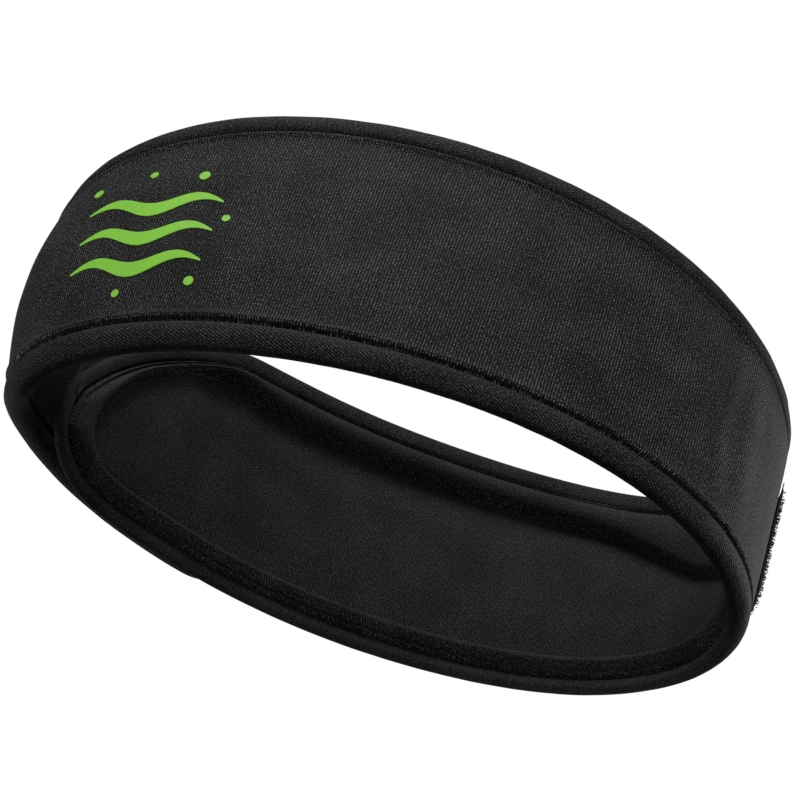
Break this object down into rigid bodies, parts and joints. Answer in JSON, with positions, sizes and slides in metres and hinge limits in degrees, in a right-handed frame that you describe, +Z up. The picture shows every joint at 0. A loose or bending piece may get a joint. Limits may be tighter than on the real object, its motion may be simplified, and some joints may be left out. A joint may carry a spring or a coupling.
{
  "type": "swim headband",
  "caption": "Neoprene swim ear band: a knit-faced foam strap with taped edges, closed into a ring at the back by a hook-and-loop tab.",
  "frame": {"origin": "centre of the bounding box in plan, at the bottom edge the band stands on", "axes": "+Z up as the band is worn, -Y towards the printed front, +Y towards the closure at the back, +X to the wearer's left, along the band's longest side"},
  "size_m": [0.1766, 0.1088, 0.0692],
  "materials": {
    "outer_jersey": "matte knit jersey",
    "inner_lining": "matte ribbed lining",
    "neoprene_core": "closed-cell foam rubber",
    "binding_tape": "matte knit binding",
    "sewing_thread": "satin polyester thread",
    "hook": "stiff moulded hooks on woven base",
    "loop": "brushed loop pile",
    "print_ink": "satin heat-transfer film"
  },
  "bodies": {
    "front_band": {"front_outer_jersey": "outer_jersey", "front_neoprene_core": "neoprene_core", "front_inner_lining": "inner_lining", "front_bottom_tape": "binding_tape", "front_top_tape": "binding_tape", "front_bottom_thread_outer": "sewing_thread", "front_bottom_thread_inner": "sewing_thread", "front_top_thread_outer": "sewing_thread", "front_top_thread_inner": "sewing_thread", "print_wave_upper": "print_ink", "print_wave_middle": "print_ink", "print_wave_lower": "print_ink", "print_dot_1": "print_ink", "print_dot_2": "print_ink", "print_dot_3": "print_ink", "print_dot_4": "print_ink", "print_dot_5": "print_ink", "print_dot_6": "print_ink"},
    "outer_tab": {"tab_outer_jersey": "outer_jersey", "tab_neoprene_core": "neoprene_core", "tab_inner_lining": "inner_lining", "tab_bottom_tape": "binding_tape", "tab_top_tape": "binding_tape", "tab_bottom_thread_outer": "sewing_thread", "tab_bottom_thread_inner": "sewing_thread", "tab_top_thread_outer": "sewing_thread", "tab_top_thread_inner": "sewing_thread", "hook_patch": "hook", "hook_patch_bottom_thread": "sewing_thread", "hook_patch_top_thread": "sewing_thread"},
    "inner_strap": {"strap_outer_jersey": "outer_jersey", "strap_neoprene_core": "neoprene_core", "strap_inner_lining": "inner_lining", "strap_bottom_tape": "binding_tape", "strap_top_tape": "binding_tape", "strap_bottom_thread_outer": "sewing_thread", "strap_bottom_thread_inner": "sewing_thread", "strap_top_thread_outer": "sewing_thread", "strap_top_thread_inner": "sewing_thread", "loop_patch": "loop", "loop_patch_bottom_thread": "sewing_thread", "loop_patch_top_thread": "sewing_thread", "strap_tape_bar_tack": "sewing_thread"}
  },
  "joints": [
    {"name": "tab_peel", "type": "hinge", "parent": "front_band", "child": "outer_tab", "pos_m": [-0.08578, -0.01252, 0.03], "axis": [0, 0, 1], "range_deg": [0, 100]},
    {"name": "strap_swing", "type": "hinge", "parent": "front_band", "child": "inner_strap", "pos_m": [0.08655, -0.01311, 0.03], "axis": [0, 0, 1], "range_deg": [-25, 0]}
  ],
  "couplings": [
    {"joint": "strap_swing", "follows": "tab_peel", "ratio": -0.25}
  ]
}
